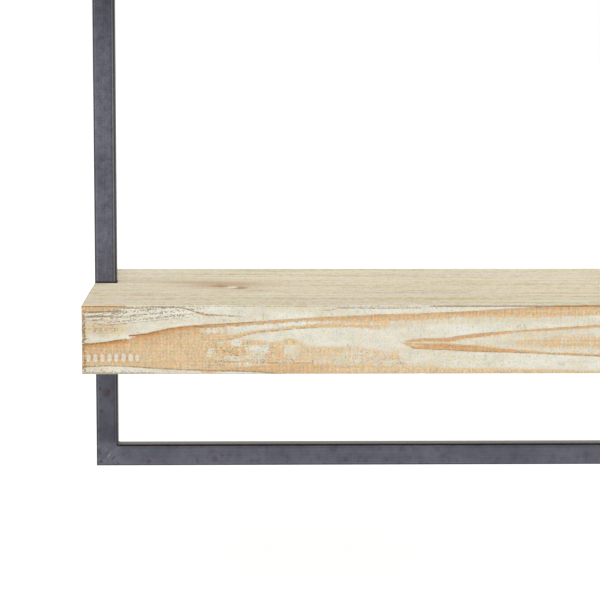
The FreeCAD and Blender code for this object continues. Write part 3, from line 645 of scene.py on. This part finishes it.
# the saw's teeth also left fine upright stripes, two to each chatter mark
twice = add(tree, "Math", {0: phase, 1: 2.0}, operation="MULTIPLY")
stripe = add(tree, "Math", {0: twice}, operation="SINE")
shade = mixed(tree, noise, 1.0, {"crumb": 0.35, "stroke": 0.6})
shade = add(tree, "Math", {0: stripe, 1: 0.030, 2: shade}, operation="MULTIPLY_ADD")
shade = add(tree, "Math", {0: field["chatter"], 1: -0.14, 2: shade}, operation="MULTIPLY_ADD")
timber = add(tree, "HueSaturation", {"Value": shade, "Color": timber})
pale = mixed(tree, noise, 0.72, {"stroke": 1.3, "cloud": 1.5, "crumb": 1.0}, clamp=True)
wash = add(tree, "Mix", {0: pale, 6: colour("D6CBAC"), 7: colour("F0F1E6")}, **rgba)
thin = mixed(tree, noise, field["wash_thin"], {"stroke": 2.4, "crumb": 2.4, "streak": 0.6},
             clamp=True)
thin = add(tree, "Math", {0: thin, 1: 0.8}, operation="MULTIPLY")
wash = add(tree, "Mix", {0: thin, 6: wash, 7: colour("D6B98C")}, **rgba)
face = add(tree, "Mix", {0: shown, 6: wash, 7: timber}, **rgba)
# pits hold brown dust: the higher the speck field, the more of the crumbs are pits
pits = mixed(tree, noise, field["speck"], {"pit": -2.2, "crumb": -0.9, "fleck": -0.6})
pits = add(tree, "MapRange", {0: pits, 1: 0.73, 2: 1.05, 3: 0.0, 4: 0.92})
face = add(tree, "Mix", {0: pits, 6: face, 7: colour("947850")}, **rgba)

# top and underside: planed, so the wash is thin and even, with lengthwise grain and knots
grain = mixed(tree, noise, 0.66, {"sweep": 1.5, "thread": 1.5, "fleck": 1.0, "crumb": 0.8},
              clamp=True)
planed = add(tree, "Mix", {0: grain, 6: colour("D2C19A"), 7: colour("EEE6D2")}, **rgba)
streaks = add(tree, "Mapping", {"Vector": place, "Scale": (1000 / 120, 1000 / 7, 1000 / 7)})
streaks = add(tree, "TexNoise", {"Vector": streaks, "Scale": 1.0, "Detail": 3.0}, out=1)
planed = add(tree, "Mix", {0: 0.38, 6: planed, 7: streaks}, blend_type="OVERLAY", **rgba)
brown = mixed(tree, noise, field["knot"], {"sweep": 1.0, "fleck": 0.8})
brown = add(tree, "MapRange", {0: brown, 1: 0.05, 2: 0.9, 3: 0.0, 4: 0.85})
dark = mixed(tree, noise, field["knot"], {"crumb": 1.0, "fleck": 1.2})
dark = add(tree, "MapRange", {0: dark, 1: 1.15, 2: 1.8, 3: 0.0, 4: 0.70}, **smooth)
split = add(tree, "MapRange", {0: field["knot"], 1: -0.9, 2: -0.2, 3: 0.9, 4: 0.0}, **smooth)
for share, tint in ((brown, "B69164"), (dark, "7E6A5A"), (split, "F0E8DA")):
    planed = add(tree, "Mix", {0: share, 6: planed, 7: colour(tint)}, **rgba)

# ends: growth rings as arcs round the heart of the log, under a scrubbed coat of wash
rings = mixed(tree, noise, 0.0, {"haze": 5.0, "cloud": 3.0})
rings = add(tree, "Math", {0: field["ring_reach"], 1: 2 * math.pi / ring_width, 2: rings},
            operation="MULTIPLY_ADD")
rings = add(tree, "Math", {0: rings}, operation="SINE")
rings = add(tree, "MapRange", {0: rings, 1: -0.1, 2: 1.0, 3: 0.0, 4: 0.75})
sawn = add(tree, "Mix", {0: rings, 6: colour("DCCCA6"), 7: colour("B48D5A")}, **rgba)
scrub = mixed(tree, noise, 0.42, {"cloud": 2.6, "crumb": 2.4, "fleck": 2.0}, clamp=True)
sawn = add(tree, "Mix", {0: scrub, 6: sawn, 7: colour("E6E2D0")}, **rgba)

# how much of a face is an end, or a top or underside, by where its normal points
facing = add(tree, "NewGeometry", out=1)
sides = [add(tree, "Math", {0: add(tree, "SeparateXYZ", {0: facing}, out=i)},
             operation="ABSOLUTE") for i in (0, 2)]
ends, flats = [add(tree, "MapRange", {0: side, 1: 0.45, 2: 0.85, 3: 0.0, 4: 1.0}, **smooth)
               for side in sides]
surface = add(tree, "Mix", {0: flats, 6: face, 7: planed}, **rgba)
# resin and dirt in thin dark lines along the hard rings and the front arris
line = mixed(tree, noise, field["dark_line"], {"crumb": 1.3})
line = add(tree, "MapRange", {0: line, 1: -0.35, 2: 0.35, 3: 0.0, 4: 0.78}, **smooth)
steep = add(tree, "MapRange", {0: sides[1], 1: 0.80, 2: 0.97, 3: 1.0, 4: 0.0})
line = add(tree, "Math", {0: line, 1: steep}, operation="MULTIPLY")
surface = add(tree, "Mix", {0: line, 6: surface, 7: colour("8A683E")}, **rgba)
surface = add(tree, "Mix", {0: ends, 6: surface, 7: sawn}, **rgba)
# the ends and their arrises are darkened: painted shade where the ends turn from the light
along = add(tree, "Math", {0: across}, operation="ABSOLUTE")
end_shade = add(tree, "MapRange", {0: along, 1: 0.3480, 2: 0.3492, 3: 0.0, 4: 0.50})
surface = add(tree, "Mix", {0: end_shade, 6: surface, 7: colour("94826E")}, **rgba)
tone = mixed(tree, noise, 0.99, {"crumb": 0.50, "stroke": 0.24, "fleck": 0.22})
surface = add(tree, "HueSaturation", {"Value": tone, "Color": surface})
# fibres a millimetre or so wide that took up more or less of the wash, each of its own tint
fibres = add(tree, "Mapping", {"Vector": place, "Scale": (1000 / 1.9, 1000 / 1.9, 1000 / 1.3)})
fibres = add(tree, "TexNoise", {"Vector": fibres, "Scale": 1.0, "Detail": 2.0}, out=1)
surface = add(tree, "Mix", {0: 0.60, 6: surface, 7: fibres}, blend_type="OVERLAY", **rgba)
height = mixed(tree, noise, 0.0, {"fibre": 0.6, "crumb": 0.7, "stroke": 0.3})
height = add(tree, "Math", {0: saw, 1: 0.12, 2: height}, operation="MULTIPLY_ADD")
height = add(tree, "Math", {0: shown, 1: -0.25, 2: height}, operation="MULTIPLY_ADD")
rough = add(tree, "Bump", {"Strength": 0.5, "Distance": 0.0004, "Height": height})
shader = add(tree, "BsdfPrincipled", {"Base Color": surface, "Roughness": 0.82, "Normal": rough})
add(tree, "OutputMaterial", {0: shader})


def knots_over(x, y, spots):
    """How much of a knot each point of the top has: the sum over its spots of a strength times e to
    the minus distance squared. Below zero there is a split that holds wash."""
    return sum(strength * np.exp(-((x - at_x) / long) ** 2 - ((y - at_y) / wide) ** 2)
               for at_x, at_y, long, wide, strength in spots)


# middle, half length, half width and strength of each spot: a brown halo, then dark hearts and
# splits in it
plank_knots = {"bottom": ((-228, -144, 44, 36, 0.66), (-268, -120, 34, 11, 0.40),
                          (-196, -190, 15, 5, 0.50), (-232, -154, 6, 8, 1.1),
                          (-220.5, -165, 3.4, 3.8, -3.4), (-213, -171, 5, 8, 1.5),
                          (168, -64, 26, 16, 0.7), (168, -64, 7, 7, 1.3)),
               "middle": ((96, -214, 32, 20, 0.8), (99, -214, 8, 9, 1.4), (86, -215, 5, 5, -3.4),
                          (-180, -70, 24, 15, 0.7), (-180, -70, 7, 7, 1.3)),
               "top": ((-60, -120, 34, 20, 0.8), (-60, -120, 8, 10, 1.4),
                       (262, -226, 22, 14, 0.7), (262, -226, 6, 7, 1.2))}
# each plank is another length of the same log: which way its figure runs, where it starts, whether
# it is turned over, how far it is drawn out, and how deep below it the heart of the log lay
plank_cuts = {"bottom": (1, -1.0, 1, 1.0, 70), "middle": (-1, 40.0, -1, 1.15, 95),
              "top": (1, 150.0, -1, 0.9, 60)}
heart_aside = 25                     # how far to the back or the front of the plank's middle it lay
back_start = 850                     # the figure runs the other way on the back, from here
wear_shift = 2.3                     # between the planks, so that no two are worn alike
lattice, plank_faces = plank_lattice()
for order, (level, height) in enumerate(plank_heights.items()):
    along, start, upright, stretch, heart_depth = plank_cuts[level]
    u = (lattice[:, 0] * along + plank_half[0]) * stretch + start
    v = lattice[:, 2] * upright + plank_half[2]
    front = wash_figure(u, v)
    back = wash_figure(back_start - u, v)
    is_front = lattice[:, 1] < plank_middle
    points = wear(lattice, 1.0 + wear_shift * order) + (0, 0, height)
    plank = new_piece(f"plank_{level}", points, plank_faces.tolist(), plank_wood, 45)
    fields = {name: np.where(is_front, front[name], back[name]) for name in front}
    fields["knot"] = knots_over(lattice[:, 0], lattice[:, 1], plank_knots[level])
    fields["ring_reach"] = np.hypot(lattice[:, 1] - plank_middle - heart_aside * along,
                                    v + heart_depth)
    for name, values in fields.items():
        attribute = plank.data.attributes.new(name, "FLOAT", "POINT")
        attribute.data.foreach_set("value", values.astype(np.float32))
    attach(plank, "root")
    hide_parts(f"{level}_shelf")

# The support tabs
# A short flat bar of the same raw steel under each end of a plank, welded to the upright's inner
# side. The plank's weight rests on it.
for level in plank_heights:
    finish_in(rail_steel, f"{level}_left_tab", f"{level}_right_tab")

# The hangers and the screws
# Stamped keyhole plates of zinc-plated steel, let into the back of each plank, with countersunk
# screws; and black pan-head screws up through the tabs. All are bought parts.
zinc, tree = new_material("bright_zinc_plated_steel")
place = add(tree, "TexCoord", out=3)
noise = patterns(tree, place, {"spangle": (4, 4, 4, 2), "rub": (0.5, 9, 0.5, 2)})
skin = add(tree, "Mix", {0: noise["spangle"], 6: colour("A9ADB2"), 7: colour("C9CDD2")}, **rgba)
gloss = add(tree, "MapRange", {0: noise["rub"], 1: 0.3, 2: 0.7, 3: 0.26, 4: 0.42})
shader = add(tree, "BsdfPrincipled", {"Base Color": skin, "Metallic": 1.0, "Roughness": gloss})
add(tree, "OutputMaterial", {0: shader})
phosphate, tree = new_material("black_phosphated_screw_steel")
place = add(tree, "TexCoord", out=3)
noise = patterns(tree, place, {"bloom": (1.5, 1.5, 1.5, 2)})
skin = add(tree, "Mix", {0: noise["bloom"], 6: colour("1C1C1E"), 7: colour("34343A")}, **rgba)
shader = add(tree, "BsdfPrincipled", {"Base Color": skin, "Metallic": 0.6, "Roughness": 0.45})
add(tree, "OutputMaterial", {0: shader})
for level in plank_heights:
    finish_in(zinc, f"{level}_left_hanger", f"{level}_right_hanger", f"{level}_hanger_screws")
    finish_in(phosphate, f"{level}_tab_screws")

# The studio
# A pale floor well below the unit and a white surround, both plain white to the camera. A soft
# lamp stands high in front, with a weaker one to the left and another behind to the right.
floor_height = -1050.0
floor_reach = 60000.0
mesh = bpy.data.meshes.new("floor")
far, down = floor_reach / 1000, floor_height / 1000
mesh.from_pydata([(-far, -far, down), (far, -far, down), (far, far, down), (-far, far, down)],
                 [], [(0, 1, 2, 3)])
floor = bpy.data.objects.new("floor", mesh)
bpy.context.scene.collection.objects.link(floor)


def seen_directly(tree):
    """One for rays from the camera, and for those that a gloss or glass sends on."""
    seen = [add(tree, "LightPath", out=name)
            for name in ("Is Camera Ray", "Is Glossy Ray", "Is Transmission Ray")]
    most = add(tree, "Math", {0: seen[0], 1: seen[1]}, operation="MAXIMUM")
    return add(tree, "Math", {0: most, 1: seen[2]}, operation="MAXIMUM")


paper, tree = new_material("white_paper_floor")
share = add(tree, "Math", {0: seen_directly(tree), 1: 0.55}, operation="MULTIPLY")
matt = add(tree, "BsdfDiffuse", {"Color": colour("D8D8D6")})
glow = add(tree, "Emission", {"Color": colour("FFFFFF"), "Strength": share})
add(tree, "OutputMaterial", {0: add(tree, "AddShader", {0: matt, 1: glow})})
mesh.materials.append(paper)

world = bpy.data.worlds.new("white_surround")
bpy.context.scene.world = world
world.use_nodes = True
tree = world.node_tree
tree.nodes.clear()
seen = add(tree, "Background", {0: colour("FFFFFF"), 1: 1.0})
fill = add(tree, "Background", {0: colour("FFFFFF"), 1: 0.40})
add(tree, "OutputWorld", {0: add(tree, "MixShader", {0: seen_directly(tree), 1: fill, 2: seen})})

for name, azimuth, height, breadth, power in (("front", 3.0, 35.0, 15.0, 1.54),
                                              ("left", -60.0, 20.0, 24.0, 0.50),
                                              ("rear", 135.0, 40.0, 30.0, 0.60)):
    lamp = bpy.data.lights.new(name, "SUN")
    lamp.angle, lamp.energy = math.radians(breadth), power
    holder = bpy.data.objects.new(name, lamp)
    holder.rotation_euler = (math.radians(90 - height), 0, math.radians(azimuth))
    bpy.context.scene.collection.objects.link(holder)

# The camera
# It stands 2 m in front of the unit, left of its middle and between the heights of its two lower
# shelves, and looks slightly down on the left half of the lowest through a long lens.
eye = (-204.9, -2049.8, -155.1)
pitch, yaw, roll = 6.861, -1.427, 0.115
lens = 123.1
view = bpy.data.cameras.new("view")
view.lens, view.sensor_width, view.clip_end = lens, 36.0, 200.0
camera = bpy.data.objects.new("camera", view)
camera.matrix_world = (Matrix.Translation([part / 1000 for part in eye])
                       @ Matrix.Rotation(math.radians(yaw), 4, "Z")
                       @ Matrix.Rotation(math.radians(90 - pitch), 4, "X")
                       @ Matrix.Rotation(math.radians(roll), 4, "Z"))
bpy.context.scene.collection.objects.link(camera)
bpy.context.scene.camera = camera
bpy.context.scene.view_settings.view_transform = "Standard"
